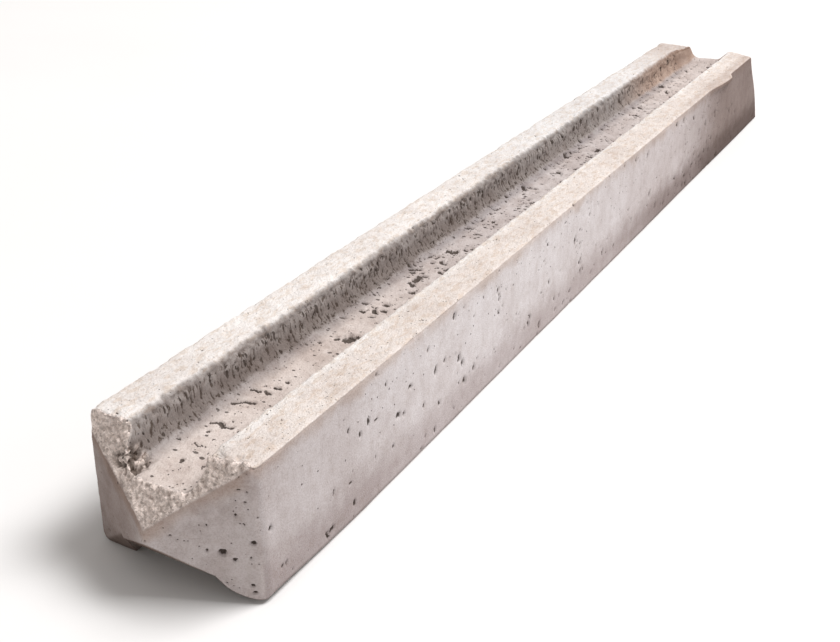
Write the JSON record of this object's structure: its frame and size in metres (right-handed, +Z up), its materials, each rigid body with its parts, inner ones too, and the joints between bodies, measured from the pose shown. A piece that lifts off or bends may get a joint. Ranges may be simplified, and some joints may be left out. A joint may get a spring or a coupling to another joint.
{
  "type": "slotted concrete fence post",
  "caption": "Precast concrete fence post with a board slot in two opposite faces and a weathered head, lying on its side, with steel reinforcement cast in.",
  "frame": {"origin": "under the middle of the post, on the plane it lies on", "axes": "+X across the post, from flange to flange; +Y along the post from its weathered head to its butt; +Z up out of the upper board slot"},
  "size_m": [0.1349, 1.18, 0.1],
  "materials": {
    "concrete": "mould-cast concrete, warm grey, matt, with air holes",
    "bar_steel": "mill scale with light rust",
    "wire_steel": "drawn wire, dull",
    "chair_plastic": "moulded, matt"
  },
  "bodies": {
    "root": {"concrete_post": "concrete", "bar_lower_left": "bar_steel", "bar_lower_right": "bar_steel", "bar_upper_left": "bar_steel", "bar_upper_right": "bar_steel", "link_left_1": "wire_steel", "link_right_1": "wire_steel", "link_left_2": "wire_steel", "link_right_2": "wire_steel", "link_left_3": "wire_steel", "link_right_3": "wire_steel", "link_left_4": "wire_steel", "link_right_4": "wire_steel", "link_left_5": "wire_steel", "link_right_5": "wire_steel", "link_left_6": "wire_steel", "link_right_6": "wire_steel", "web_tie_1": "wire_steel", "web_tie_2": "wire_steel", "web_tie_3": "wire_steel", "web_tie_4": "wire_steel", "web_tie_5": "wire_steel", "web_tie_6": "wire_steel", "chair_head_left": "chair_plastic", "chair_head_right": "chair_plastic", "chair_butt_left": "chair_plastic", "chair_butt_right": "chair_plastic"}
  },
  "joints": []
}
